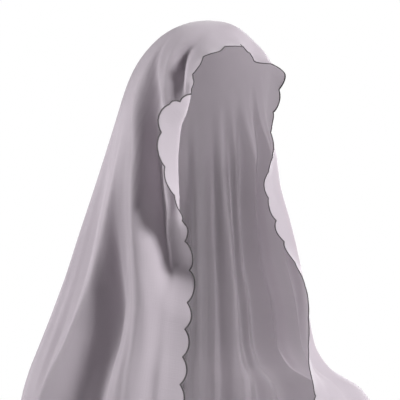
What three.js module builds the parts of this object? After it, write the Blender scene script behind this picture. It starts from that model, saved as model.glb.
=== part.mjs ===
// Chiffon veil, draped over the crown and hanging to the chest and back.
// Millimetres, +Z up. The wearer faces -Y and the wearer's left is +X.
// The origin is the seat on the crown, on the inner side of the cloth.
import * as THREE from 'three';

// Sizes of the flat cloth
const clothLength = 1750;
const clothWidth = 700;
const frontOverhang = 92;
const wall = 1;
const longScallops = 48;
const shortScallops = 19;
const scallopDepth = 7.5;

// Sizes of the stitched edging, which lies just outside the cloth's rim
const edgingGap = 0.3;
const edgingWidth = 1.4;

// Sizes of the draped form, which the table of sections shares out
const measureDrop = 1000;
const rightHalfWidth = 270;
const leftHalfWidth = 266;
const backReach = 163;
const frontReach = 134;
const centreOffset = 15;

// Sizes of the folds and of the turned border
const foldReach = 420;
const foldDepth = 46;
const foldDeepening = 0.2;
const deepeningRange = 1.2;
const foldFade = 0.15;
const borderRise = 20;
const borderSlide = 20;
const liftReach = 80;
const calmReach = 30;
const borderWidth = 30;
const rollArcLength = 14;
const leastTurn = 0.5;

// How finely the cloth is divided
const levelCount = 200;
const frontSteps = 4;
const otherSteps = 3;
const probeDistance = 2;
const rowSpacing = 1.5;

// Sections of the drape by level, chosen by hand. The drop is a share of measureDrop, the four
// reaches and the centre are shares of their own sizes, square is the superellipse's power, and
// cheek and fall say how far the cloth has gone over to those two columns of the turn table.
const sectionColumns = ['drop', 'right', 'left', 'back', 'front', 'centre', 'square', 'cheek', 'fall'];
const sections = [
  [0, 0, 0, 0, 0, 0.53, 2, 0, 0],
  [0.002, 0.074, 0.07, 0.135, 0.14, 0.53, 2, 0, 0],
  [0.008, 0.145, 0.138, 0.27, 0.285, 0.53, 2, 0, 0],
  [0.02, 0.222, 0.205, 0.417, 0.42, 0.53, 2, 0, 0],
  [0.04, 0.296, 0.268, 0.546, 0.55, 0.53, 2.05, 0.05, 0],
  [0.065, 0.359, 0.312, 0.638, 0.625, 0.53, 2.1, 0.3, 0],
  [0.095, 0.407, 0.348, 0.7, 0.675, 0.53, 2.15, 0.7, 0],
  [0.135, 0.452, 0.398, 0.742, 0.695, 0.53, 2.2, 1, 0],
  [0.19, 0.5, 0.465, 0.785, 0.694, 0.67, 2.3, 1, 0.08],
  [0.25, 0.556, 0.457, 0.822, 0.679, 0.8, 2.4, 1, 0.3],
  [0.32, 0.63, 0.466, 0.871, 0.687, 0.93, 2.5, 1, 0.65],
  [0.39, 0.733, 0.522, 0.92, 0.724, 1, 2.5, 1, 0.95],
  [0.44, 0.818, 0.55, 0.957, 0.776, 1, 2.5, 1, 1],
  [0.475, 0.882, 0.635, 0.975, 0.828, 1, 2.5, 1, 1],
  [0.51, 0.93, 0.87, 0.988, 0.873, 1, 2.5, 1, 1],
  [0.56, 0.97, 0.985, 1, 0.925, 1, 2.5, 1, 1],
  [0.68, 0.985, 1, 1, 0.978, 1, 2.5, 1, 1],
  [1.1, 0.985, 1, 0.97, 1.015, 1, 2.5, 1, 1],
];

// Where a line that leaves the crown at a flat angle from the front comes to lie in plan,
// at the cheeks and where the cloth falls free, in degrees and chosen by hand
const turnColumns = ['flat', 'cheekRight', 'cheekLeft', 'fallRight', 'fallLeft'];
const turns = [
  [0, 0, 0, 0, 0],
  [30, 29, 32, 10, 18],
  [50, 47, 57, 24, 31],
  [65, 50, 78, 36, 40],
  [78, 58, 92, 49, 46],
  [90, 85, 100, 67, 66],
  [97, 98, 104, 78, 79],
  [105, 105, 111, 90, 94],
  [116, 116, 120, 107, 110],
  [130, 131, 132, 127, 128],
  [150, 151, 151, 149, 149],
  [180, 180, 180, 180, 180],
];

// Folds, chosen by hand: the flat angle where the fold starts and where it is full, with the
// wearer's right negative, its half width in degrees, the cloth runs where it starts, is full and
// begins to fade as shares of foldReach, and its depth as a share of foldDepth, outward positive
const foldColumns = ['start', 'end', 'half', 'from', 'full', 'fades', 'depth'];
const folds = [
  [-38, -66, 13, 0.1, 0.34, 0.3, -0.42],
  [-66, -83, 6, 0.1, 0.5, 0.6, 0.16],
  [-90, -84.5, 4.5, 0.14, 0.5, 0.62, -0.42],
  [-89.5, -79, 4.5, 0.1, 1.25, 0.97, -0.68],
  [-82, -82, 5, 0.9, 1.2, 9, 0.22],
  [-95.5, -87, 4, 0.25, 0.62, 9, 0.32],
  [-91.5, -97, 6.5, 0.48, 1.4, 9, -0.85],
  [-97, -104, 4.5, 0.42, 1.5, 9, 0.5],
  [-112, -112, 7, 0.4, 1, 9, -0.2],
  [-121, -121, 7, 0.36, 1, 9, 0.24],
  [-130, -131, 7, 0.36, 1, 9, -0.66],
  [-139, -140, 6, 0.38, 1, 9, 0.45],
  [-147, -149, 8, 0.36, 1, 9, -0.92],
  [-157, -157, 6, 0.42, 1, 9, 0.4],
  [-165, -165, 6.5, 0.4, 1, 9, -0.74],
  [-175, -174, 7, 0.38, 1, 9, 0.62],
  [176, 175, 7.5, 0.4, 1, 9, -1],
  [167, 165.5, 6, 0.42, 1, 9, 0.46],
  [158, 157, 7, 0.38, 1, 9, -0.8],
  [148, 148, 6, 0.36, 1, 9, 0.4],
  [141, 140, 5, 0.4, 1, 9, -0.3],
  [137, 133, 5, 0.36, 1, 9, 0.5],
  [131, 126, 5, 0.36, 0.9, 9, -0.5],
  [121, 119.5, 5, 0.36, 0.9, 9, -0.5],
  [113, 112, 6.5, 0.33, 0.9, 9, 0.56],
  [100, 103, 6, 0.29, 0.79, 9, -0.5],
  [94, 94, 5, 0.4, 0.79, 9, 0.2],
  [88, 88, 5, 0.4, 0.79, 9, -0.2],
  [81, 81, 5, 0.48, 0.79, 9, 0.14],
];

// Front border by station along the front edge, chosen by hand. The station is a share of half
// the cloth's length with the wearer's right negative, lift and slide (how far the border is drawn
// forward) and line (from the edge to where the border turns) are shares of their own sizes, calm
// is the share of the folds that dies out towards the border, and turn is in degrees.
const borderColumns = ['station', 'lift', 'slide', 'calm', 'line', 'turn'];
const borders = [
  [-1, 0, 0.5, 0, 1, 0],
  [-0.7, 0, 1.5, 0, 0.9, 5],
  [-0.63, 0, 1.1, 0, 0.85, 8],
  [-0.55, 0, 0.25, 0.4, 0.8, 10],
  [-0.434, 0, -0.25, 0.8, 0.67, 15],
  [-0.39, 0, -0.7, 1, 0.6, 45],
  [-0.36, 0, -0.25, 1, 0.75, 110],
  [-0.32, 0, 0.25, 1, 1.1, 130],
  [-0.27, 0, 0.5, 1, 1.4, 136],
  [-0.235, 0, 0.5, 1, 1.45, 138],
  [-0.205, 0, 0.15, 1, 1, 138],
  [-0.155, 0, -0.2, 1, 0.2, 110],
  [-0.135, 0, -0.3, 0.6, 0.25, 30],
  [-0.11, 0, -0.3, 0.5, 0.4, 20],
  [-0.046, 0.2, -0.2, 0.4, 0.67, 20],
  [0, -0.3, -0.3, 0.3, 0.67, 15],
  [0.051, -0.6, 0, 0, 0.67, 10],
  [0.091, 0.2, 0, 0, 0.8, 20],
  [0.125, -0.4, 0.6, 0, 0.9, 22],
  [0.167, -1, 0.8, 0, 0.83, 18],
  [0.208, -1.3, 0.8, 0, 0.67, 12],
  [0.27, -1.4, 0.3, 0, 0.67, 8],
  [0.31, -1.4, 0, 0, 0.67, 5],
  [0.366, -0.65, 0, 0, 0.67, 5],
  [0.42, -0.2, 0, 0, 0.8, 5],
  [0.46, 0.1, 0, 0, 0.8, 5],
  [0.51, 0.3, 0, 0, 0.8, 5],
  [0.55, 0.15, 0, 0, 0.8, 5],
  [0.62, -0.4, 0, 0, 0.85, 5],
  [0.7, -1.05, 0, 0, 0.9, 5],
  [1, -0.5, 0, 0, 1, 0],
];

// Rows of the cloth beside its border, as shares of the turned arc that lie outside each row
const rollRows = [0, 0.33, 0.67, 1];

// Rows of the inner cloth, as shares of the way from the crown to the innermost border row,
// which crowd towards the crown where that way is long
const innerMarginWidth = 50;
const innerRows = [1, 0.81, 0.745, 0.66, 0.56, 0.46, 0.37, 0.285, 0.195];
const crownRow = 0.1;
const crowding = 0.9;

const halfLength = clothLength / 2;
const degree = Math.PI / 180;
const fullTurn = 360;

function smooth(value) {
  const t = Math.min(Math.max(value, 0), 1);
  return t * t * (3 - 2 * t);
}

// A curve through a table's column that never overshoots its values
function column(places, values) {
  const last = places.length - 1;
  const rises = places.slice(1).map((place, i) => (values[i + 1] - values[i]) / (place - places[i]));
  const slopes = places.map((_, i) => {
    if (i === 0) return rises[0];
    if (i === last) return rises[last - 1];
    const product = rises[i - 1] * rises[i];
    return product > 0 ? (2 * product) / (rises[i - 1] + rises[i]) : 0;
  });
  return (place) => {
    let i = 0;
    while (i < last - 1 && place >= places[i + 1]) i += 1;
    const span = places[i + 1] - places[i];
    const t = Math.min(Math.max((place - places[i]) / span, 0), 1);
    const start = values[i] + t * t * (3 - 2 * t) * (values[i + 1] - values[i]);
    return start + span * t * (1 - t) * ((1 - t) * slopes[i] - t * slopes[i + 1]);
  };
}

function columnsOf(table, names, places) {
  const entries = names.map((name, k) => [name, column(places, table.map((row) => row[k]))]);
  return Object.fromEntries(entries);
}

const sectionCurves = columnsOf(sections, sectionColumns, sections.map((_, i) => i));
const turnCurves = columnsOf(turns, turnColumns, turns.map((row) => row[0]));
const borderCurves = columnsOf(borders, borderColumns, borders.map((row) => row[0]));

// The levels between the crown and the lowest section, each in millimetres
const levels = Array.from({ length: levelCount }, (_, i) => {
  const place = (i * (sections.length - 1)) / (levelCount - 1);
  return {
    drop: sectionCurves.drop(place) * measureDrop,
    right: sectionCurves.right(place) * rightHalfWidth,
    left: sectionCurves.left(place) * leftHalfWidth,
    back: sectionCurves.back(place) * backReach,
    front: sectionCurves.front(place) * frontReach,
    centre: sectionCurves.centre(place) * centreOffset,
    square: sectionCurves.square(place),
    cheek: sectionCurves.cheek(place),
    fall: sectionCurves.fall(place),
  };
});

// The point of a level that lies at a plan angle from the front
function levelPoint(level, planAngle) {
  const side = Math.sin(planAngle);
  const ahead = Math.cos(planAngle);
  const across = Math.abs(side) / Math.max(planAngle < 0 ? level.right : level.left, 1e-6);
  const along = Math.abs(ahead) / Math.max(ahead > 0 ? level.front : level.back, 1e-6);
  const radius = (across ** level.square + along ** level.square) ** (-1 / level.square);
  return new THREE.Vector3(radius * side, level.centre - radius * ahead, -level.drop);
}

// Lays a flat point of the cloth on the smooth drape, as far along its line as it is when flat
function smoothDrape(flatAngle, run) {
  const size = Math.abs(flatAngle);
  const right = flatAngle < 0;
  const cheek = right ? turnCurves.cheekRight(size) : turnCurves.cheekLeft(size);
  const fall = right ? turnCurves.fallRight(size) : turnCurves.fallLeft(size);
  const planAngle = (level) => {
    const atCheek = size + (cheek - size) * level.cheek;
    return (atCheek + (fall - atCheek) * level.fall) * degree * (right ? -1 : 1);
  };
  let angle = planAngle(levels[0]);
  let point = levelPoint(levels[0], angle);
  let travelled = 0;
  for (const level of levels.slice(1)) {
    const nextAngle = planAngle(level);
    const next = levelPoint(level, nextAngle);
    const step = next.distanceTo(point);
    if (travelled + step >= run) {
      const share = (run - travelled) / step;
      return { point: point.lerp(next, share), angle: angle + (nextAngle - angle) * share };
    }
    travelled += step;
    angle = nextAngle;
    point = next;
  }
  return { point, angle };
}

// How far the folds push the cloth out at a flat angle and run from the crown
function foldOffset(flatAngle, run) {
  return folds.reduce((sum, row) => {
    const [start, end, half, from, full, fades, depth] = row;
    const share = run / foldReach;
    const growth = smooth((share - from) / (full - from));
    const centre = start + (end - start) * growth;
    const away = ((flatAngle - centre + 1.5 * fullTurn) % fullTurn) - fullTurn / 2;
    if (Math.abs(away) >= half) return sum;
    const beyond = Math.min(Math.max(share - full, 0), deepeningRange);
    const bump = 0.5 + 0.5 * Math.cos((Math.PI * away) / half);
    const fading = 1 - smooth((share - fades) / foldFade);
    return sum + depth * foldDepth * bump * growth * (1 + foldDeepening * beyond) * fading;
  }, 0);
}

// Lays a flat point on the folded drape, before the front border is turned
function drape(across, along) {
  const station = across / halfLength;
  const nearEdge = smooth(1 - Math.max(along + frontOverhang, 0) / liftReach);
  const drawn = along - borderCurves.slide(station) * borderSlide * nearEdge;
  const flatAngle = Math.atan2(across, -drawn) / degree;
  const run = Math.hypot(across, drawn);
  const { point, angle } = smoothDrape(flatAngle, run);
  const lift = borderCurves.lift(station) * borderRise * nearEdge;
  const pastLine = Math.max(along - rollLine(across), 0);
  const calm = borderCurves.calm(station) * smooth(1 - pastLine / calmReach);
  const out = foldOffset(flatAngle, run) * (1 - calm) + lift;
  point.x += out * Math.sin(angle);
  point.y -= out * Math.cos(angle);
  return point;
}

// Where the line about which the front border turns lies in the flat cloth
function rollLine(across) {
  return borderCurves.line(across / halfLength) * borderWidth - frontOverhang;
}

function onRollLine(across, beyond) {
  return drape(across, rollLine(across) - beyond);
}

// Lays a flat point on the veil, with the front border turned back about its nearest place on
// the roll line
function veil(across, along) {
  const depth = rollLine(across) - along;
  if (depth <= 0) return drape(across, along);
  const slope = (rollLine(across - probeDistance) - rollLine(across + probeDistance)) / (2 * probeDistance);
  const foot = across + (depth * slope) / (1 + slope * slope);
  const outside = Math.hypot(across - foot, along - rollLine(foot));
  const turn = Math.max(borderCurves.turn(foot / halfLength), leastTurn) * degree;
  const forward = onRollLine(foot, probeDistance).sub(onRollLine(foot, -probeDistance));
  const lineWay = onRollLine(foot + probeDistance, 0).sub(onRollLine(foot - probeDistance, 0)).normalize();
  const outward = forward.cross(lineWay).normalize();
  const aheadWay = lineWay.cross(outward);
  const radius = rollArcLength / turn;
  const bend = Math.min(outside, rollArcLength) / radius;
  const rest = Math.max(outside - rollArcLength, 0);
  const start = onRollLine(foot, 0);
  start.addScaledVector(aheadWay, radius * Math.sin(bend) + rest * Math.cos(turn));
  return start.addScaledVector(outward, radius * (1 - Math.cos(bend)) + rest * Math.sin(turn));
}

// The four edges of the flat cloth, clockwise from its front left corner
const frontAlong = -frontOverhang;
const backAlong = clothWidth - frontOverhang;
const edges = [
  { from: [halfLength, frontAlong], to: [-halfLength, frontAlong], count: longScallops, steps: frontSteps },
  { from: [-halfLength, frontAlong], to: [-halfLength, backAlong], count: shortScallops, steps: otherSteps },
  { from: [-halfLength, backAlong], to: [halfLength, backAlong], count: longScallops, steps: otherSteps },
  { from: [halfLength, backAlong], to: [halfLength, frontAlong], count: shortScallops, steps: otherSteps },
];

// The arcs of one edge as flat points, each with the number of steps to the next notch
function scallopPoints({ from, to, count, steps }) {
  const chord = new THREE.Vector2(to[0] - from[0], to[1] - from[1]).divideScalar(count);
  const length = chord.length();
  const outward = new THREE.Vector2(-chord.y, chord.x).divideScalar(length);
  const radius = (length * length / 4 + scallopDepth * scallopDepth) / (2 * scallopDepth);
  const halfAngle = Math.asin(length / 2 / radius);
  return Array.from({ length: count * steps }, (_, i) => {
    const scallop = Math.floor(i / steps);
    const angle = halfAngle * ((2 * (i % steps)) / steps - 1);
    const share = scallop + 0.5 + (Math.sin(angle) * radius) / length;
    const rise = radius * Math.cos(angle) - radius + scallopDepth;
    return new THREE.Vector2(...from).addScaledVector(chord, share).addScaledVector(outward, rise);
  });
}

const rim = edges.flatMap(scallopPoints);
const notches = edges.flatMap(({ from, to, count, steps }) =>
  Array.from({ length: count }, (_, i) => ({
    across: from[0] + ((to[0] - from[0]) * i) / count,
    along: from[1] + ((to[1] - from[1]) * i) / count,
    steps,
  })),
);

// The flat place of a notch on a border row, drawn in from all four edges
function rowPlace(notch, arc, row) {
  const depthAt = (across) => {
    const line = rollLine(across) + frontOverhang;
    return Math.max(line - rollArcLength * (1 - arc), rowSpacing * (row + 1));
  };
  const corner = depthAt(halfLength);
  return insetPlace(notch, corner, depthAt(notch.across));
}

function insetPlace(notch, corner, front) {
  const across = (notch.across * (halfLength - corner)) / halfLength;
  const share = (notch.along - frontAlong) / clothWidth;
  const near = notch.along === frontAlong ? front : corner;
  return new THREE.Vector2(across, frontAlong + near + share * (clothWidth - near - corner));
}

function towardsCrown(place, share) {
  return place.clone().multiplyScalar(share ** (1 + (crowding * place.length()) / measureDrop));
}

// Builds the rows of flat places from the rim to the crown
function flatRows() {
  const inner = notches.map((notch) => insetPlace(notch, innerMarginWidth, innerMarginWidth));
  const rows = [rim];
  rollRows.forEach((arc, row) => rows.push(notches.map((notch) => rowPlace(notch, arc, row))));
  for (const share of innerRows) {
    rows.push(inner.map((place) => towardsCrown(place, share)));
  }
  rows.push(inner.filter((_, i) => i % 2 === 0).map((place) => towardsCrown(place, crownRow)));
  rows.push([new THREE.Vector2(0, 0)]);
  return rows;
}

// Joins two closed rows, where the outer one has the given number of steps for each inner point
function joinRows(outerStart, outerCount, innerStart, innerCount, stepsAt) {
  const faces = [];
  let outer = 0;
  for (let i = 0; i < innerCount; i += 1) {
    const steps = stepsAt(i);
    const here = innerStart + i;
    const next = innerStart + ((i + 1) % innerCount);
    const middle = Math.floor(steps / 2);
    for (let k = 0; k < steps; k += 1) {
      const a = outerStart + ((outer + k) % outerCount);
      const b = outerStart + ((outer + k + 1) % outerCount);
      if (k === middle && innerCount > 1) faces.push([a, next, here]);
      faces.push([a, b, k < middle ? here : next]);
    }
    outer += steps;
  }
  return faces;
}

// The cloth's inner surface as points and faces, which turn clockwise from the crown
function clothSurface() {
  const rows = flatRows();
  const points = rows.flat().map((place) => veil(place.x, place.y));
  const faces = [];
  let start = 0;
  rows.slice(1).forEach((row, i) => {
    const outerCount = rows[i].length;
    const even = outerCount / row.length;
    const stepsAt = i === 0 ? (k) => notches[k].steps : () => even;
    faces.push(...joinRows(start, outerCount, start + outerCount, row.length, stepsAt));
    start += outerCount;
  });
  return { points, faces };
}

function outwardNormals(points, faces) {
  const normals = points.map(() => new THREE.Vector3());
  for (const [a, b, c] of faces) {
    const ab = points[b].clone().sub(points[a]);
    const ac = points[c].clone().sub(points[a]);
    const normal = ac.cross(ab);
    for (const corner of [a, b, c]) normals[corner].add(normal);
  }
  return normals.map((normal) => normal.normalize());
}

function meshOf(name, colour, points, faces) {
  const geometry = new THREE.BufferGeometry();
  const values = points.flatMap((point) => point.toArray());
  geometry.setAttribute('position', new THREE.Float32BufferAttribute(values, 3));
  geometry.setIndex(faces.flat());
  geometry.computeVertexNormals();
  const material = new THREE.MeshStandardMaterial({ color: colour, roughness: 0.9, metalness: 0 });
  const mesh = new THREE.Mesh(geometry, material);
  mesh.name = name;
  return mesh;
}

// The veil's cloth: the draped surface with its wall outside it and a rim round the border
function buildPanel(surface, normals) {
  const { points, faces } = surface;
  const outer = points.map((point, i) => point.clone().addScaledVector(normals[i], wall));
  const shift = points.length;
  const solid = faces.map(([a, b, c]) => [a, b, c]);
  faces.forEach(([a, b, c]) => solid.push([a + shift, c + shift, b + shift]));
  rim.forEach((_, a) => {
    const b = (a + 1) % rim.length;
    solid.push([a, a + shift, b + shift], [a, b + shift, b]);
  });
  return meshOf('chiffon_panel', 0xb3a6b0, [...points, ...outer], solid);
}

// The way out from the cloth at a rim point, long enough to clear both neighbouring rim faces
function awayFromCloth(i, points, normal) {
  const before = points[i].clone().sub(points[(i + rim.length - 1) % rim.length]);
  const after = points[(i + 1) % rim.length].clone().sub(points[i]);
  const outOfBefore = normal.clone().cross(before).normalize();
  const outOfAfter = normal.clone().cross(after).normalize();
  const away = outOfBefore.add(outOfAfter).normalize();
  return away.divideScalar(away.dot(outOfAfter));
}

// The stitched edging: one three-sided ring that follows the cloth's rim at a small gap
function buildEdging(points, normals) {
  const corners = rim.map((_, i) => {
    const away = awayFromCloth(i, points, normals[i]);
    const under = points[i].clone().addScaledVector(away, edgingGap);
    const over = under.clone().addScaledVector(normals[i], wall);
    const middle = under.clone().lerp(over, 0.5);
    return [under, middle.addScaledVector(away, edgingWidth), over];
  });
  const faces = [];
  corners.forEach((section, i) => {
    const here = i * section.length;
    const next = ((i + 1) % corners.length) * section.length;
    section.forEach((_, k) => {
      const after = (k + 1) % section.length;
      faces.push([here + k, here + after, next + k], [here + after, next + after, next + k]);
    });
  });
  return meshOf('scallop_edging', 0x4a464a, corners.flat(), faces);
}

const surface = clothSurface();
const normals = outwardNormals(surface.points, surface.faces);
const group = new THREE.Group();
group.add(buildPanel(surface, normals));
group.add(buildEdging(surface.points, normals));

export default group;
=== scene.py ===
"""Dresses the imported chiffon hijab: the sheer draped cloth, its overlocked scallops and the studio."""
import logging
import math
from dataclasses import dataclass
from enum import Enum
from typing import NamedTuple

import bpy
import numpy as np
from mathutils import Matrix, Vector


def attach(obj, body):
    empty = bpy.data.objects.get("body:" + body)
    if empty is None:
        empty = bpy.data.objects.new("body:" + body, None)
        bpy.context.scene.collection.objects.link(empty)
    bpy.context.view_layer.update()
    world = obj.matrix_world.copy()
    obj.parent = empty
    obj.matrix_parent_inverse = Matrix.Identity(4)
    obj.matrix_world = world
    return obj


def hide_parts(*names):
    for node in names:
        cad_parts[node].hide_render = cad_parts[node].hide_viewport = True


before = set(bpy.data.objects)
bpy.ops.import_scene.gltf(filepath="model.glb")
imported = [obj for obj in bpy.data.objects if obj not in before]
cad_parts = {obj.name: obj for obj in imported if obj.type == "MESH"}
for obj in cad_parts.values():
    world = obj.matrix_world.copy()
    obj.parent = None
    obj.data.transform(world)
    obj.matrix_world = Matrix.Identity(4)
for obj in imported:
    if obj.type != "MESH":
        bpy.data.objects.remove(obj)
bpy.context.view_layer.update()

LOG = logging.getLogger("hijab")

PHOTO_WIDTH = 400
DEGREE = math.pi / 180
HALF_TURN = 180.0
TINY = 1e-9

# Sections of the drape by level. The drop is a share of the measure drop, the four
# reaches and the centre are shares of their own sizes, square is the superellipse's power, and
# cheek and fall say how far the cloth has gone over to the turn table's columns of those names.
SECTION_COLUMNS = ("drop", "right", "left", "back", "front", "centre", "square", "cheek", "fall")
SECTIONS = (
    (0, 0, 0, 0, 0, 0.53, 2, 0, 0),
    (0.002, 0.074, 0.07, 0.135, 0.14, 0.53, 2, 0, 0),
    (0.008, 0.145, 0.138, 0.27, 0.285, 0.53, 2, 0, 0),
    (0.02, 0.222, 0.205, 0.417, 0.42, 0.53, 2, 0, 0),
    (0.04, 0.296, 0.268, 0.546, 0.55, 0.53, 2.05, 0.05, 0),
    (0.065, 0.359, 0.312, 0.638, 0.625, 0.53, 2.1, 0.3, 0),
    (0.095, 0.407, 0.348, 0.7, 0.675, 0.53, 2.15, 0.7, 0),
    (0.135, 0.452, 0.398, 0.742, 0.695, 0.53, 2.2, 1, 0),
    (0.19, 0.5, 0.465, 0.785, 0.694, 0.67, 2.3, 1, 0.08),
    (0.25, 0.556, 0.457, 0.822, 0.679, 0.8, 2.4, 1, 0.3),
    (0.32, 0.63, 0.466, 0.871, 0.687, 0.93, 2.5, 1, 0.65),
    (0.39, 0.733, 0.522, 0.92, 0.724, 1, 2.5, 1, 0.95),
    (0.44, 0.818, 0.55, 0.957, 0.776, 1, 2.5, 1, 1),
    (0.475, 0.882, 0.635, 0.975, 0.828, 1, 2.5, 1, 1),
    (0.51, 0.93, 0.87, 0.988, 0.873, 1, 2.5, 1, 1),
    (0.56, 0.97, 0.985, 1, 0.925, 1, 2.5, 1, 1),
    (0.68, 0.985, 1, 1, 0.978, 1, 2.5, 1, 1),
    (1.1, 0.985, 1, 0.97, 1.015, 1, 2.5, 1, 1),
)

# Where a line that leaves the crown at a flat angle from the front comes to lie in plan,
# at the cheeks and where the cloth falls free, in degrees.
TURN_COLUMNS = ("flat", "cheek_right", "cheek_left", "fall_right", "fall_left")
TURNS = (
    (0, 0, 0, 0, 0),
    (30, 29, 32, 10, 18),
    (50, 47, 57, 24, 31),
    (65, 50, 78, 36, 40),
    (78, 58, 92, 49, 46),
    (90, 85, 100, 67, 66),
    (97, 98, 104, 78, 79),
    (105, 105, 111, 90, 94),
    (116, 116, 120, 107, 110),
    (130, 131, 132, 127, 128),
    (150, 151, 151, 149, 149),
    (180, 180, 180, 180, 180),
)


class Fold(NamedTuple):
    """One row of the fold table.

    The flat angles where the fold starts and where it is full and its half width are in degrees,
    with the wearer's right negative. The cloth runs where it begins, is full and starts to fade are
    shares of the fold reach, and its depth is a share of the fold depth, outward positive.
    """

    start: float
    end: float
    half: float
    begins: float
    full: float
    fades: float
    depth: float


# Folds round the drape, from the wearer's right cheek by the back to the left.
# NEVER is a share of the fold reach that no cloth run comes to, so such a fold doesn't fade.
NEVER = 9
FOLDS = (
    (-38, -66, 13, 0.1, 0.34, 0.3, -0.42),
    (-66, -83, 6, 0.1, 0.5, 0.6, 0.16),
    (-90, -84.5, 4.5, 0.14, 0.5, 0.62, -0.42),
    (-89.5, -79, 4.5, 0.1, 1.25, 0.97, -0.68),
    (-82, -82, 5, 0.9, 1.2, NEVER, 0.22),
    (-95.5, -87, 4, 0.25, 0.62, NEVER, 0.32),
    (-91.5, -97, 6.5, 0.48, 1.4, NEVER, -0.85),
    (-97, -104, 4.5, 0.42, 1.5, NEVER, 0.5),
    (-112, -112, 7, 0.4, 1, NEVER, -0.2),
    (-121, -121, 7, 0.36, 1, NEVER, 0.24),
    (-130, -131, 7, 0.36, 1, NEVER, -0.66),
    (-139, -140, 6, 0.38, 1, NEVER, 0.45),
    (-147, -149, 8, 0.36, 1, NEVER, -0.92),
    (-157, -157, 6, 0.42, 1, NEVER, 0.4),
    (-165, -165, 6.5, 0.4, 1, NEVER, -0.74),
    (-175, -174, 7, 0.38, 1, NEVER, 0.62),
    (176, 175, 7.5, 0.4, 1, NEVER, -1),
    (167, 165.5, 6, 0.42, 1, NEVER, 0.46),
    (158, 157, 7, 0.38, 1, NEVER, -0.8),
    (148, 148, 6, 0.36, 1, NEVER, 0.4),
    (141, 140, 5, 0.4, 1, NEVER, -0.3),
    (137, 133, 5, 0.36, 1, NEVER, 0.5),
    (131, 126, 5, 0.36, 0.9, NEVER, -0.5),
    (121, 119.5, 5, 0.36, 0.9, NEVER, -0.5),
    (113, 112, 6.5, 0.33, 0.9, NEVER, 0.56),
    (100, 103, 6, 0.29, 0.79, NEVER, -0.5),
    (94, 94, 5, 0.4, 0.79, NEVER, 0.2),
    (88, 88, 5, 0.4, 0.79, NEVER, -0.2),
    (81, 81, 5, 0.48, 0.79, NEVER, 0.14),
)

# Front border by station along the front edge. The station is a share of half the
# cloth's length with the wearer's right negative. Lift is a share of the border rise. Slide (how
# far the border is drawn forward) is a share of the border slide. Calm is the share of the folds
# that dies out towards the border. Line (from the edge to where the border turns) is a share of
# the border width, and turn is in degrees.
BORDER_COLUMNS = ("station", "lift", "slide", "calm", "line", "turn")
BORDERS = (
    (-1, 0, 0.5, 0, 1, 0),
    (-0.7, 0, 1.5, 0, 0.9, 5),
    (-0.63, 0, 1.1, 0, 0.85, 8),
    (-0.55, 0, 0.25, 0.4, 0.8, 10),
    (-0.434, 0, -0.25, 0.8, 0.67, 15),
    (-0.39, 0, -0.7, 1, 0.6, 45),
    (-0.36, 0, -0.25, 1, 0.75, 110),
    (-0.32, 0, 0.25, 1, 1.1, 130),
    (-0.27, 0, 0.5, 1, 1.4, 136),
    (-0.235, 0, 0.5, 1, 1.45, 138),
    (-0.205, 0, 0.15, 1, 1, 138),
    (-0.155, 0, -0.2, 1, 0.2, 110),
    (-0.135, 0, -0.3, 0.6, 0.25, 30),
    (-0.11, 0, -0.3, 0.5, 0.4, 20),
    (-0.046, 0.2, -0.2, 0.4, 0.67, 20),
    (0, -0.3, -0.3, 0.3, 0.67, 15),
    (0.051, -0.6, 0, 0, 0.67, 10),
    (0.091, 0.2, 0, 0, 0.8, 20),
    (0.125, -0.4, 0.6, 0, 0.9, 22),
    (0.167, -1, 0.8, 0, 0.83, 18),
    (0.208, -1.3, 0.8, 0, 0.67, 12),
    (0.27, -1.4, 0.3, 0, 0.67, 8),
    (0.31, -1.4, 0, 0, 0.67, 5),
    (0.366, -0.65, 0, 0, 0.67, 5),
    (0.42, -0.2, 0, 0, 0.8, 5),
    (0.46, 0.1, 0, 0, 0.8, 5),
    (0.51, 0.3, 0, 0, 0.8, 5),
    (0.55, 0.15, 0, 0, 0.8, 5),
    (0.62, -0.4, 0, 0, 0.85, 5),
    (0.7, -1.05, 0, 0, 0.9, 5),
    (1, -0.5, 0, 0, 1, 0),
)


def smooth(value: np.ndarray) -> np.ndarray:
    """Eases from 0 to 1.

    Args:
        value: Where to read the ease, clipped to 0 to 1.

    Returns:
        The eased values.
    """
    t = np.clip(value, 0.0, 1.0)
    return t * t * (3.0 - 2.0 * t)


def unit(vectors: np.ndarray) -> np.ndarray:
    """Scales rows of vectors to length 1.

    Args:
        vectors: One vector a row.

    Returns:
        The same directions with length 1.
    """
    return vectors / np.maximum(np.linalg.norm(vectors, axis=-1, keepdims=True), TINY)


@dataclass
class Column:
    """A curve through one column of a table, which never overshoots its values."""

    places: np.ndarray
    values: np.ndarray

    def __post_init__(self) -> None:
        """Works out the curve's slope at each place."""
        rises = np.diff(self.values) / np.diff(self.places)
        product = rises[:-1] * rises[1:]
        total = np.where(rises[:-1] + rises[1:] == 0, 1.0, rises[:-1] + rises[1:])
        inner = np.where(product > 0, 2.0 * product / total, 0.0)
        self.slopes = np.concatenate([rises[:1], inner, rises[-1:]])

    def __call__(self, place: np.ndarray) -> np.ndarray:
        """Reads the curve.

        Args:
            place: Where to read it.

        Returns:
            The values there.
        """
        i = np.clip(np.searchsorted(self.places, place, side="right") - 1, 0, len(self.places) - 2)
        span = self.places[i + 1] - self.places[i]
        t = np.clip((place - self.places[i]) / span, 0.0, 1.0)
        start = self.values[i] + smooth(t) * (self.values[i + 1] - self.values[i])
        return start + span * t * (1 - t) * ((1 - t) * self.slopes[i] - t * self.slopes[i + 1])


def columns(table: tuple, names: tuple[str, ...], places: list[float]) -> dict[str, Column]:
    """Makes a curve for each column of a table.

    Args:
        table: The rows.
        names: The columns' names.
        places: Where each row stands.

    Returns:
        The curves by name.
    """
    values = np.array(table, dtype=float)
    return {name: Column(np.array(places, dtype=float), values[:, k]) for k, name in enumerate(names)}


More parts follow.
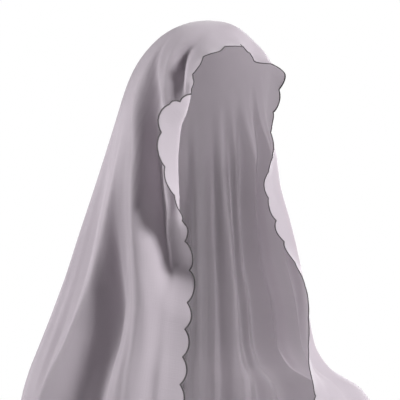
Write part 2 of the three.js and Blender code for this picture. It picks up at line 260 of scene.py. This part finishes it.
@dataclass(frozen=True)
class FlatCloth:
    """The sheet as it is cut, in metres: its rectangle and the scallops that stand out of it."""

    length: float = 1.75
    width: float = 0.7
    overhang: float = 0.092
    long_scallops: int = 48
    short_scallops: int = 19
    scallop_depth: float = 0.0075

    @property
    def front(self) -> float:
        """Where the front edge lies, counted back from the crown."""
        return -self.overhang

    @property
    def back(self) -> float:
        """Where the back edge lies, counted back from the crown."""
        return self.width - self.overhang

    @property
    def half_length(self) -> float:
        """Half the length, which is how far each end lies from the crown."""
        return self.length / 2

    def rise(self, share: np.ndarray, pitch: float) -> np.ndarray:
        """How far an edge's arcs stand out of the rectangle.

        Args:
            share: Place along the edge, counted in scallops.
            pitch: The scallops' chord.

        Returns:
            The rise at each place.
        """
        radius = (pitch * pitch / 4 + self.scallop_depth**2) / (2 * self.scallop_depth)
        aside = (share - np.floor(share) - 0.5) * pitch
        return np.sqrt(np.maximum(radius * radius - aside * aside, 0)) - radius + self.scallop_depth


@dataclass
class Drape:
    """Lays flat points of the cloth over the crown, as far along their line as they are when flat."""

    cloth: FlatCloth
    # The drape's outer sizes.
    measure_drop: float = 1.0
    right_half_width: float = 0.27
    left_half_width: float = 0.266
    back_reach: float = 0.163
    front_reach: float = 0.134
    centre_offset: float = 0.015
    # The folds and the fine pleats between them.
    fold_reach: float = 0.42
    fold_depth: float = 0.046
    fold_deepening: float = 0.2
    deepening_range: float = 1.2
    fold_fade: float = 0.15
    fine_depth: float = 0.002
    fine_counts: tuple[int, ...] = (53, 83, 131)
    fine_wander: float = 0.03
    fine_begins: float = 0.3
    fine_margin: float = 0.06
    # The front border.
    border_rise: float = 0.02
    border_slide: float = 0.02
    lift_reach: float = 0.08
    calm_reach: float = 0.03
    border_width: float = 0.03
    roll_arc: float = 0.014
    least_turn: float = 0.5
    # How finely the drape is worked out.
    probe: float = 0.002
    level_count: int = 200

    def __post_init__(self) -> None:
        """Reads the tables into curves and works out the levels."""
        section = columns(SECTIONS, SECTION_COLUMNS, list(range(len(SECTIONS))))
        self.turn = columns(TURNS, TURN_COLUMNS, [row[0] for row in TURNS])
        self.edge = columns(BORDERS, BORDER_COLUMNS, [row[0] for row in BORDERS])
        place = np.linspace(0, len(SECTIONS) - 1, self.level_count)
        sizes = {
            "drop": self.measure_drop,
            "right": self.right_half_width,
            "left": self.left_half_width,
            "back": self.back_reach,
            "front": self.front_reach,
            "centre": self.centre_offset,
        }
        self.levels = {name: section[name](place) * sizes.get(name, 1.0) for name in SECTION_COLUMNS}

    def _level_points(self, level: int, angle: np.ndarray) -> np.ndarray:
        """Points of one level at plan angles from the front.

        Args:
            level: The level's index.
            angle: Plan angles in radians.

        Returns:
            The points.
        """
        at = {name: values[level] for name, values in self.levels.items()}
        side = np.sin(angle)
        ahead = np.cos(angle)
        across = np.abs(side) / np.maximum(np.where(angle < 0, at["right"], at["left"]), TINY)
        along = np.abs(ahead) / np.maximum(np.where(ahead > 0, at["front"], at["back"]), TINY)
        radius = (across ** at["square"] + along ** at["square"]) ** (-1 / at["square"])
        drop = np.full_like(angle, -at["drop"])
        return np.stack([radius * side, at["centre"] - radius * ahead, drop], axis=-1)

    def _plan_angles(self, flat_angle: np.ndarray) -> tuple[np.ndarray, np.ndarray, np.ndarray]:
        """Reads the turn table.

        Args:
            flat_angle: Angles from the front in the flat cloth, in degrees.

        Returns:
            The unsigned angle, and where it comes to lie at the cheeks and in the fall.
        """
        size = np.abs(flat_angle)
        right = flat_angle < 0
        cheek = np.where(right, self.turn["cheek_right"](size), self.turn["cheek_left"](size))
        fall = np.where(right, self.turn["fall_right"](size), self.turn["fall_left"](size))
        return size, cheek, fall

    def _smooth_drape(self, flat_angle: np.ndarray, run: np.ndarray) -> tuple[np.ndarray, np.ndarray]:
        """Marches down the levels until each point's line is as long as when flat.

        Args:
            flat_angle: Angles from the front, in degrees.
            run: Distances from the crown.

        Returns:
            The points and their plan angles.
        """
        size, cheek, fall = self._plan_angles(flat_angle)
        sign = np.where(flat_angle < 0, -1.0, 1.0) * DEGREE

        def plan(level: int) -> np.ndarray:
            """Plan angles at a level."""
            at_cheek = size + (cheek - size) * self.levels["cheek"][level]
            return (at_cheek + (fall - at_cheek) * self.levels["fall"][level]) * sign

        angle = plan(0)
        point = self._level_points(0, angle)
        placed = point.copy()
        turned = angle.copy()
        travelled = np.zeros_like(run)
        waiting = run > 0
        for level in range(1, self.level_count):
            next_angle = plan(level)
            following = self._level_points(level, next_angle)
            step = np.linalg.norm(following - point, axis=-1)
            here = waiting & (travelled + step >= run)
            share = ((run - travelled) / np.maximum(step, TINY))[here]
            placed[here] = point[here] + (following - point)[here] * share[:, None]
            turned[here] = angle[here] + (next_angle - angle)[here] * share
            waiting &= ~here
            travelled += step
            angle = next_angle
            point = following
        placed[waiting] = point[waiting]
        turned[waiting] = angle[waiting]
        return placed, turned

    def _fold_offset(self, flat_angle: np.ndarray, run: np.ndarray) -> np.ndarray:
        """How far the folds push the cloth out.

        Args:
            flat_angle: Angles from the front, in degrees.
            run: Distances from the crown.

        Returns:
            The offsets, outward positive.
        """
        offset = np.zeros_like(run)
        share = run / self.fold_reach
        for fold in map(Fold._make, FOLDS):
            growth = smooth((share - fold.begins) / (fold.full - fold.begins))
            centre = fold.start + (fold.end - fold.start) * growth
            away = (flat_angle - centre + HALF_TURN) % (2 * HALF_TURN) - HALF_TURN
            bump = np.where(np.abs(away) < fold.half, 0.5 + 0.5 * np.cos(np.pi * away / fold.half), 0.0)
            deepening = 1 + self.fold_deepening * np.clip(share - fold.full, 0, self.deepening_range)
            fading = 1 - smooth((share - fold.fades) / self.fold_fade)
            offset += fold.depth * self.fold_depth * bump * growth * deepening * fading
        return offset

    def _fine_offset(self, flat_angle: np.ndarray, run: np.ndarray) -> np.ndarray:
        """How far the fine pleats that run down the whole cloth push it out.

        Args:
            flat_angle: Angles from the front, in degrees.
            run: Distances from the crown.

        Returns:
            The offsets, outward positive.
        """
        share = run / self.fold_reach
        pleats = np.zeros_like(run)
        for count in self.fine_counts:
            wander = self.fine_wander * np.sin(share * math.pi + count)
            pleats += np.cos(count * (flat_angle * DEGREE + wander)) / len(self.fine_counts)
        return pleats * self.fine_depth * smooth(share - self.fine_begins)

    def _folded(self, across: np.ndarray, along: np.ndarray) -> np.ndarray:
        """Lays flat points on the folded drape, before the front border is turned.

        Args:
            across: Flat places towards the wearer's left.
            along: Flat places towards the back.

        Returns:
            The points.
        """
        station = across / self.cloth.half_length
        near_edge = smooth(1 - np.maximum(along - self.cloth.front, 0) / self.lift_reach)
        drawn = along - self.edge["slide"](station) * self.border_slide * near_edge
        flat_angle = np.arctan2(across, -drawn) / DEGREE
        run = np.hypot(across, drawn)
        point, angle = self._smooth_drape(flat_angle, run)
        lift = self.edge["lift"](station) * self.border_rise
        past_line = np.maximum(along - self._roll_line(across), 0)
        calm = self.edge["calm"](station) * smooth(1 - past_line / self.calm_reach)
        fine = self._fine_offset(flat_angle, run) * smooth(past_line / self.fine_margin)
        out = self._fold_offset(flat_angle, run) * (1 - calm) + fine + lift * near_edge
        return point + np.stack([out * np.sin(angle), -out * np.cos(angle), np.zeros_like(out)], axis=-1)

    def _roll_line(self, across: np.ndarray) -> np.ndarray:
        """Where the line about which the front border turns lies in the flat cloth.

        Args:
            across: Flat places towards the wearer's left.

        Returns:
            The line's places towards the back.
        """
        return self.cloth.front + self.edge["line"](across / self.cloth.half_length) * self.border_width

    def _on_roll_line(self, across: np.ndarray, beyond: float = 0.0) -> np.ndarray:
        """Points of the folded drape on the roll line.

        Args:
            across: Flat places towards the wearer's left.
            beyond: How far past the line, towards the edge.

        Returns:
            The points.
        """
        return self._folded(across, self._roll_line(across) - beyond)

    def lay(self, across: np.ndarray, along: np.ndarray) -> np.ndarray:
        """Lays flat points on the veil, with the front border turned back along its roll line.

        Args:
            across: Flat places towards the wearer's left.
            along: Flat places towards the back.

        Returns:
            The points in space.
        """
        points = self._folded(across, along)
        rolled = self._roll_line(across) > along
        if rolled.any():
            points[rolled] = self._turned(across[rolled], along[rolled])
        return points

    def _turned(self, across: np.ndarray, along: np.ndarray) -> np.ndarray:
        """Points of the front border beyond its roll line, turned about their foot on that line.

        Args:
            across: Flat places towards the wearer's left.
            along: Flat places towards the back.

        Returns:
            The points.
        """
        probe = self.probe
        slope = (self._roll_line(across - probe) - self._roll_line(across + probe)) / (2 * probe)
        foot = across + (self._roll_line(across) - along) * slope / (1 + slope * slope)
        outside = np.hypot(across - foot, along - self._roll_line(foot))
        turn = np.maximum(self.edge["turn"](foot / self.cloth.half_length), self.least_turn) * DEGREE
        forward = self._on_roll_line(foot, probe) - self._on_roll_line(foot, -probe)
        line_way = self._on_roll_line(foot + probe) - self._on_roll_line(foot - probe)
        outward = unit(np.cross(forward, line_way))
        ahead_way = unit(np.cross(line_way, outward))
        radius = self.roll_arc / turn
        bend = np.minimum(outside, self.roll_arc) / radius
        rest = np.maximum(outside - self.roll_arc, 0)
        ahead = radius * np.sin(bend) + rest * np.cos(turn)
        out = radius * (1 - np.cos(bend)) + rest * np.sin(turn)
        return self._on_roll_line(foot) + ahead_way * ahead[:, None] + outward * out[:, None]


@dataclass(frozen=True)
class ChiffonFinish:
    """Sheer matt chiffon: fine threads with open gaps, light passing through, a soft sheen."""

    name: str = "chiffon"
    colour: tuple[float, float, float] = (0.47, 0.425, 0.465)
    dark_colour: tuple[float, float, float] = (0.42, 0.375, 0.415)
    openness: float = 0.04
    openness_change: float = 0.015
    glow: float = 0.22
    roughness: float = 0.8
    specular: float = 0.2
    sheen: float = 0.3
    sheen_roughness: float = 0.4
    noise_detail: float = 2.0
    cloud_size: float = 0.06
    thread_length: float = 0.05
    thread_width: float = 0.0012
    thread_relief: float = 0.00015

    def material(self) -> bpy.types.Material:
        """Builds the node material.

        Returns:
            The material.
        """
        made = bpy.data.materials.new(self.name)
        made.use_nodes = True
        tree = made.node_tree
        tree.nodes.clear()
        place = tree.nodes.new("ShaderNodeUVMap")
        clouds = self._noise(tree, place, (1 / self.cloud_size, 1 / self.cloud_size))
        warp = self._noise(tree, place, (1 / self.thread_width, 1 / self.thread_length))
        weft = self._noise(tree, place, (1 / self.thread_length, 1 / self.thread_width))
        ways = (warp, weft)
        threads = tree.nodes.new("ShaderNodeMath")
        threads.operation = "ADD"
        for socket, way in zip(threads.inputs, ways):
            tree.links.new(way, socket)
        tint = tree.nodes.new("ShaderNodeMix")
        tint.data_type = "RGBA"
        tint.inputs["A"].default_value = (*self.dark_colour, 1)
        tint.inputs["B"].default_value = (*self.colour, 1)
        tree.links.new(clouds, tint.inputs["Factor"])
        bump = tree.nodes.new("ShaderNodeBump")
        bump.inputs["Distance"].default_value = self.thread_relief
        tree.links.new(threads.outputs["Value"], bump.inputs["Height"])
        cloth = tree.nodes.new("ShaderNodeBsdfPrincipled")
        cloth.inputs["Roughness"].default_value = self.roughness
        cloth.inputs["Sheen Weight"].default_value = self.sheen
        cloth.inputs["Sheen Roughness"].default_value = self.sheen_roughness
        cloth.inputs["Specular IOR Level"].default_value = self.specular
        tree.links.new(tint.outputs["Result"], cloth.inputs["Base Color"])
        tree.links.new(bump.outputs["Normal"], cloth.inputs["Normal"])
        through = tree.nodes.new("ShaderNodeBsdfTranslucent")
        tree.links.new(tint.outputs["Result"], through.inputs["Color"])
        body = tree.nodes.new("ShaderNodeMixShader")
        body.inputs["Fac"].default_value = self.glow
        tree.links.new(cloth.outputs["BSDF"], body.inputs[1])
        tree.links.new(through.outputs["BSDF"], body.inputs[2])
        gaps = tree.nodes.new("ShaderNodeMapRange")
        gaps.inputs["From Max"].default_value = len(ways)
        gaps.inputs["To Min"].default_value = self.openness - self.openness_change
        gaps.inputs["To Max"].default_value = self.openness + self.openness_change
        tree.links.new(threads.outputs["Value"], gaps.inputs["Value"])
        clear = tree.nodes.new("ShaderNodeBsdfTransparent")
        sheer = tree.nodes.new("ShaderNodeMixShader")
        tree.links.new(gaps.outputs["Result"], sheer.inputs["Fac"])
        tree.links.new(body.outputs["Shader"], sheer.inputs[1])
        tree.links.new(clear.outputs["BSDF"], sheer.inputs[2])
        output = tree.nodes.new("ShaderNodeOutputMaterial")
        tree.links.new(sheer.outputs["Shader"], output.inputs["Surface"])
        return made

    def _noise(
        self, tree: bpy.types.NodeTree, place: bpy.types.Node, scale: tuple[float, float]
    ) -> bpy.types.NodeSocket:
        """Adds a noise over the flat cloth.

        Args:
            tree: The material's nodes.
            place: The node that gives the flat place.
            scale: Grains a metre along the cloth's two ways.

        Returns:
            The noise's value.
        """
        stretch = tree.nodes.new("ShaderNodeMapping")
        stretch.inputs["Scale"].default_value = (*scale, 1)
        tree.links.new(place.outputs["UV"], stretch.inputs["Vector"])
        noise = tree.nodes.new("ShaderNodeTexNoise")
        noise.inputs["Scale"].default_value = 1
        noise.inputs["Detail"].default_value = self.noise_detail
        tree.links.new(stretch.outputs["Vector"], noise.inputs["Vector"])
        return noise.outputs["Fac"]


@dataclass(frozen=True)
class ThreadFinish:
    """Matt dark overlock thread, a little uneven in tone."""

    name: str = "edging_thread"
    colour: tuple[float, float, float] = (0.045, 0.038, 0.042)
    pale_colour: tuple[float, float, float] = (0.08, 0.068, 0.076)
    roughness: float = 0.75
    sheen: float = 0.3
    tone_size: float = 0.003

    def material(self) -> bpy.types.Material:
        """Builds the node material.

        Returns:
            The material.
        """
        made = bpy.data.materials.new(self.name)
        made.use_nodes = True
        tree = made.node_tree
        cloth = tree.nodes["Principled BSDF"]
        place = tree.nodes.new("ShaderNodeTexCoord")
        tone = tree.nodes.new("ShaderNodeTexNoise")
        tone.inputs["Scale"].default_value = 1 / self.tone_size
        tree.links.new(place.outputs["Object"], tone.inputs["Vector"])
        tint = tree.nodes.new("ShaderNodeMix")
        tint.data_type = "RGBA"
        tint.inputs["A"].default_value = (*self.colour, 1)
        tint.inputs["B"].default_value = (*self.pale_colour, 1)
        tree.links.new(tone.outputs["Fac"], tint.inputs["Factor"])
        tree.links.new(tint.outputs["Result"], cloth.inputs["Base Color"])
        cloth.inputs["Roughness"].default_value = self.roughness
        cloth.inputs["Sheen Weight"].default_value = self.sheen
        return made


def mesh_object(name: str, points: np.ndarray, faces: np.ndarray, places: np.ndarray) -> bpy.types.Object:
    """Makes a smooth mesh object from arrays.

    Args:
        name: The piece's name.
        points: One corner a row.
        faces: Four corner numbers a row.
        places: The flat place of each corner, for its UV map.

    Returns:
        The object.
    """
    mesh = bpy.data.meshes.new(name)
    mesh.from_pydata(points.tolist(), [], faces.tolist())
    layer = mesh.uv_layers.new(name="flat")
    layer.data.foreach_set("uv", places[faces.ravel()].astype(np.float32).ravel())
    mesh.polygons.foreach_set("use_smooth", np.ones(len(faces), dtype=bool))
    piece = bpy.data.objects.new(name, mesh)
    bpy.context.scene.collection.objects.link(piece)
    return piece


@dataclass
class ChiffonPanel:
    """The draped sheet with its scalloped rim, as one layer of cloth."""

    cloth: FlatCloth
    drape: Drape
    finish: ChiffonFinish = ChiffonFinish()
    cells_per_scallop: int = 9
    rim_reach: float = 0.02
    name: str = "chiffon_veil"

    def _flat_places(self) -> tuple[np.ndarray, np.ndarray]:
        """The flat place of each corner of the mesh, with the outer rows drawn out to the arcs.

        Returns:
            Two grids: places towards the wearer's left and towards the back.
        """
        cloth = self.cloth
        u = np.linspace(0, 1, cloth.long_scallops * self.cells_per_scallop + 1)
        v = np.linspace(0, 1, cloth.short_scallops * self.cells_per_scallop + 1)
        places_across = (u * 2 - 1) * cloth.half_length
        places_along = cloth.front + v * cloth.width
        across, along = np.meshgrid(places_across, places_along, indexing="ij")
        long_rise = cloth.rise(u * cloth.long_scallops, cloth.length / cloth.long_scallops)[:, None]
        short_rise = cloth.rise(v * cloth.short_scallops, cloth.width / cloth.short_scallops)[None, :]
        near_front = smooth(1 - (along - cloth.front) / self.rim_reach)
        near_back = smooth(1 - (cloth.back - along) / self.rim_reach)
        near_right = smooth(1 - (across + cloth.half_length) / self.rim_reach)
        near_left = smooth(1 - (cloth.half_length - across) / self.rim_reach)
        moved_along = along + long_rise * (near_back - near_front)
        moved_across = across + short_rise * (near_left - near_right)
        return moved_across, moved_along

    def build(self) -> bpy.types.Object:
        """Builds the sheet.

        Returns:
            The piece, still bare.
        """
        across, along = self._flat_places()
        shape = across.shape
        points = self.drape.lay(across.ravel(), along.ravel())
        corner = np.arange(points.shape[0]).reshape(shape)
        faces = np.stack([corner[:-1, :-1], corner[1:, :-1], corner[1:, 1:], corner[:-1, 1:]], axis=-1)
        places = np.stack([across.ravel(), along.ravel()], axis=-1)
        return mesh_object(self.name, points, faces.reshape(-1, 4), places)

    def dress(self, panel: bpy.types.Object) -> None:
        """Gives the sheet its chiffon.

        Args:
            panel: The bare sheet.
        """
        panel.data.materials.append(self.finish.material())


class Side(Enum):
    """The sheet's four edges, each with its piece's name."""

    FRONT = "front_overlock"
    RIGHT_END = "right_overlock"
    BACK = "back_overlock"
    LEFT_END = "left_overlock"


@dataclass
class OverlockEdging:
    """The thread wrapped round the rim: a fine cord on each side, with a slanting rib for each stitch."""

    cloth: FlatCloth
    drape: Drape
    finish: ThreadFinish = ThreadFinish()
    half_thickness: float = 0.0007
    half_width: float = 0.0012
    stitch_pitch: float = 0.0014
    rings_per_stitch: int = 4
    corners: int = 6
    rib: float = 0.16
    samples_per_scallop: int = 200
    probe: float = 0.001

    def _rim_places(self, side: Side) -> np.ndarray:
        """The flat places along one side's arcs, evenly spaced by the cord's rings.

        Args:
            side: The side.

        Returns:
            One flat place a row.
        """
        cloth = self.cloth
        long_side = side in (Side.FRONT, Side.BACK)
        count = cloth.long_scallops if long_side else cloth.short_scallops
        size = cloth.length if long_side else cloth.width
        share = np.linspace(0, count, count * self.samples_per_scallop + 1)
        rise = cloth.rise(share, size / count)
        run = share / count * size
        if side is Side.FRONT:
            places = np.stack([run - cloth.half_length, cloth.front - rise], axis=-1)
        elif side is Side.BACK:
            places = np.stack([run - cloth.half_length, cloth.back + rise], axis=-1)
        elif side is Side.RIGHT_END:
            places = np.stack([-cloth.half_length - rise, cloth.front + run], axis=-1)
        else:
            places = np.stack([cloth.half_length + rise, cloth.front + run], axis=-1)
        travelled = np.concatenate([[0], np.cumsum(np.linalg.norm(np.diff(places, axis=0), axis=-1))])
        stitches = round(travelled[-1] / self.stitch_pitch)
        even = np.linspace(0, travelled[-1], stitches * self.rings_per_stitch + 1)
        return np.stack([np.interp(even, travelled, places[:, k]) for k in range(2)], axis=-1)

    def _inward(self, side: Side) -> np.ndarray:
        """The short flat step from a side into the cloth."""
        ways = {Side.FRONT: (0, 1), Side.BACK: (0, -1), Side.RIGHT_END: (1, 0), Side.LEFT_END: (-1, 0)}
        return np.array(ways[side]) * self.probe

    def _cord(self, side: Side) -> bpy.types.Object:
        """Builds one side's cord.

        Args:
            side: The side.

        Returns:
            The piece, still bare.
        """
        places = self._rim_places(side)
        inward = places + self._inward(side)
        rim = self.drape.lay(places[:, 0], places[:, 1])
        within = self.drape.lay(inward[:, 0], inward[:, 1])
        forward = unit(np.gradient(rim, axis=0))
        flat_way = unit(rim - within)
        across = unit(flat_way - forward * (flat_way * forward).sum(-1, keepdims=True))
        upward = np.cross(forward, across)
        ring = np.arange(len(rim))
        turn = np.arange(self.corners) * math.tau / self.corners
        phase = ring[:, None] / self.rings_per_stitch * math.tau + turn[None, :]
        swell = 1 + self.rib * np.cos(phase)
        aside = self.half_width * np.cos(turn)[None, :] * swell
        above = self.half_thickness * np.sin(turn)[None, :] * swell
        points = rim[:, None] + across[:, None] * aside[..., None] + upward[:, None] * above[..., None]
        corner = np.arange(len(rim) * self.corners).reshape(len(rim), self.corners)
        after = np.roll(corner, -1, axis=1)
        faces = np.stack([corner[:-1], after[:-1], after[1:], corner[1:]], axis=-1).reshape(-1, 4)
        flat = np.repeat(places, self.corners, axis=0)
        return mesh_object(side.value, points.reshape(-1, 3), faces, flat)

    def build(self) -> list[bpy.types.Object]:
        """Builds the cords, one for each side."""
        return [self._cord(side) for side in Side]

    def dress(self, cords: list[bpy.types.Object]) -> None:
        """Gives all the cords one thread.

        Args:
            cords: The bare cords.
        """
        thread = self.finish.material()
        for cord in cords:
            cord.data.materials.append(thread)


@dataclass
class PhotoCamera:
    """The camera at the photograph's angle, level with the middle of the picture."""

    azimuth: float = -35.0
    distance: float = 4.0
    metres_per_pixel: float = 0.00136
    crown_column: float = 212.0
    crown_row: float = 20.0
    sensor: float = 36.0

    def build(self) -> None:
        """Makes the scene's camera."""
        turn = self.azimuth * DEGREE
        right = Vector((math.cos(turn), math.sin(turn), 0))
        back = Vector((math.sin(turn), -math.cos(turn), 0))
        middle = PHOTO_WIDTH / 2
        aside = (middle - self.crown_column) * self.metres_per_pixel
        height = (self.crown_row - middle) * self.metres_per_pixel
        data = bpy.data.cameras.new("photo_camera")
        data.sensor_width = self.sensor
        data.lens = self.sensor * self.distance / (PHOTO_WIDTH * self.metres_per_pixel)
        camera = bpy.data.objects.new("photo_camera", data)
        camera.location = right * aside + back * self.distance + Vector((0, 0, height))
        camera.rotation_euler = (math.pi / 2, 0, turn)
        bpy.context.scene.collection.objects.link(camera)
        bpy.context.scene.camera = camera


@dataclass(frozen=True)
class Softbox:
    """One large soft studio lamp that faces the middle of the cloth."""

    name: str
    place: tuple[float, float, float]
    size: float
    power: float
    target: tuple[float, float, float] = (0.0, 0.0, -0.3)

    def build(self) -> None:
        """Makes the lamp."""
        data = bpy.data.lights.new(self.name, "AREA")
        data.shape = "SQUARE"
        data.size = self.size
        data.energy = self.power
        lamp = bpy.data.objects.new(self.name, data)
        lamp.location = self.place
        aim = Vector(self.target) - Vector(self.place)
        lamp.rotation_euler = aim.to_track_quat("-Z", "Y").to_euler()
        bpy.context.scene.collection.objects.link(lamp)


@dataclass
class Studio:
    """The plain pale surroundings: a white backdrop colour, soft lamps and a pale round floor."""

    ambient: float = 0.04
    floor_height: float = -1.06
    floor_radius: float = 1.3
    floor_corners: int = 96
    floor_colour: tuple[float, float, float] = (0.8, 0.8, 0.8)
    floor_roughness: float = 0.9
    lamps: tuple[Softbox, ...] = (
        Softbox("key", (1.45, -1.95, 0.9), 0.8, 124.0),
        Softbox("right_side", (-2.2, 1.0, 0.9), 0.8, 82.0),
        Softbox("left_side", (2.1, 1.3, 0.2), 0.8, 60.0),
    )

    def build(self) -> None:
        """Makes the surroundings, the floor and the lamps."""
        self._surroundings()
        self._floor()
        for lamp in self.lamps:
            lamp.build()

    def _surroundings(self) -> None:
        """Sets a white backdrop that lights the cloth softly from all round."""
        world = bpy.data.worlds.new("studio")
        world.use_nodes = True
        tree = world.node_tree
        backdrop = tree.nodes["Background"]
        backdrop.inputs["Color"].default_value = (1, 1, 1, 1)
        soft = tree.nodes.new("ShaderNodeBackground")
        soft.inputs["Strength"].default_value = self.ambient
        seen = tree.nodes.new("ShaderNodeLightPath")
        mix = tree.nodes.new("ShaderNodeMixShader")
        tree.links.new(seen.outputs["Is Camera Ray"], mix.inputs["Fac"])
        tree.links.new(soft.outputs["Background"], mix.inputs[1])
        tree.links.new(backdrop.outputs["Background"], mix.inputs[2])
        tree.links.new(mix.outputs["Shader"], tree.nodes["World Output"].inputs["Surface"])
        bpy.context.scene.world = world
        bpy.context.scene.view_settings.view_transform = "Standard"

    def _floor(self) -> None:
        """Makes the floor disc under the hanging cloth."""
        bpy.ops.mesh.primitive_circle_add(
            vertices=self.floor_corners,
            radius=self.floor_radius,
            fill_type="NGON",
            location=(0, 0, self.floor_height),
        )
        floor = bpy.context.object
        floor.name = "studio_floor"
        matt = bpy.data.materials.new("floor_matt")
        matt.use_nodes = True
        surface = matt.node_tree.nodes["Principled BSDF"]
        surface.inputs["Base Color"].default_value = (*self.floor_colour, 1)
        surface.inputs["Roughness"].default_value = self.floor_roughness
        floor.data.materials.append(matt)


@dataclass
class Hijab:
    """The whole veil: the sheer sheet and the overlocked edging on its four sides."""

    cloth: FlatCloth = FlatCloth()

    def build(self) -> list[bpy.types.Object]:
        """Returns:
            The sheet and its four cords.
        """
        drape = Drape(self.cloth)
        sheet = ChiffonPanel(self.cloth, drape)
        panel = sheet.build()
        sheet.dress(panel)
        overlock = OverlockEdging(self.cloth, drape)
        edging = overlock.build()
        overlock.dress(edging)
        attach(panel, "root")
        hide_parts("chiffon_panel")
        for piece in edging:
            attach(piece, "root")
            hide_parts("scallop_edging")
        return [panel, *edging]


def main() -> None:
    """Builds the camera, the studio and the veil, and logs each piece's face count."""
    logging.basicConfig(level=logging.INFO, format="%(message)s")
    PhotoCamera().build()
    Studio().build()
    for piece in Hijab().build():
        LOG.info("%s: %d faces", piece.name, len(piece.data.polygons))


if __name__ == "__main__":
    main()
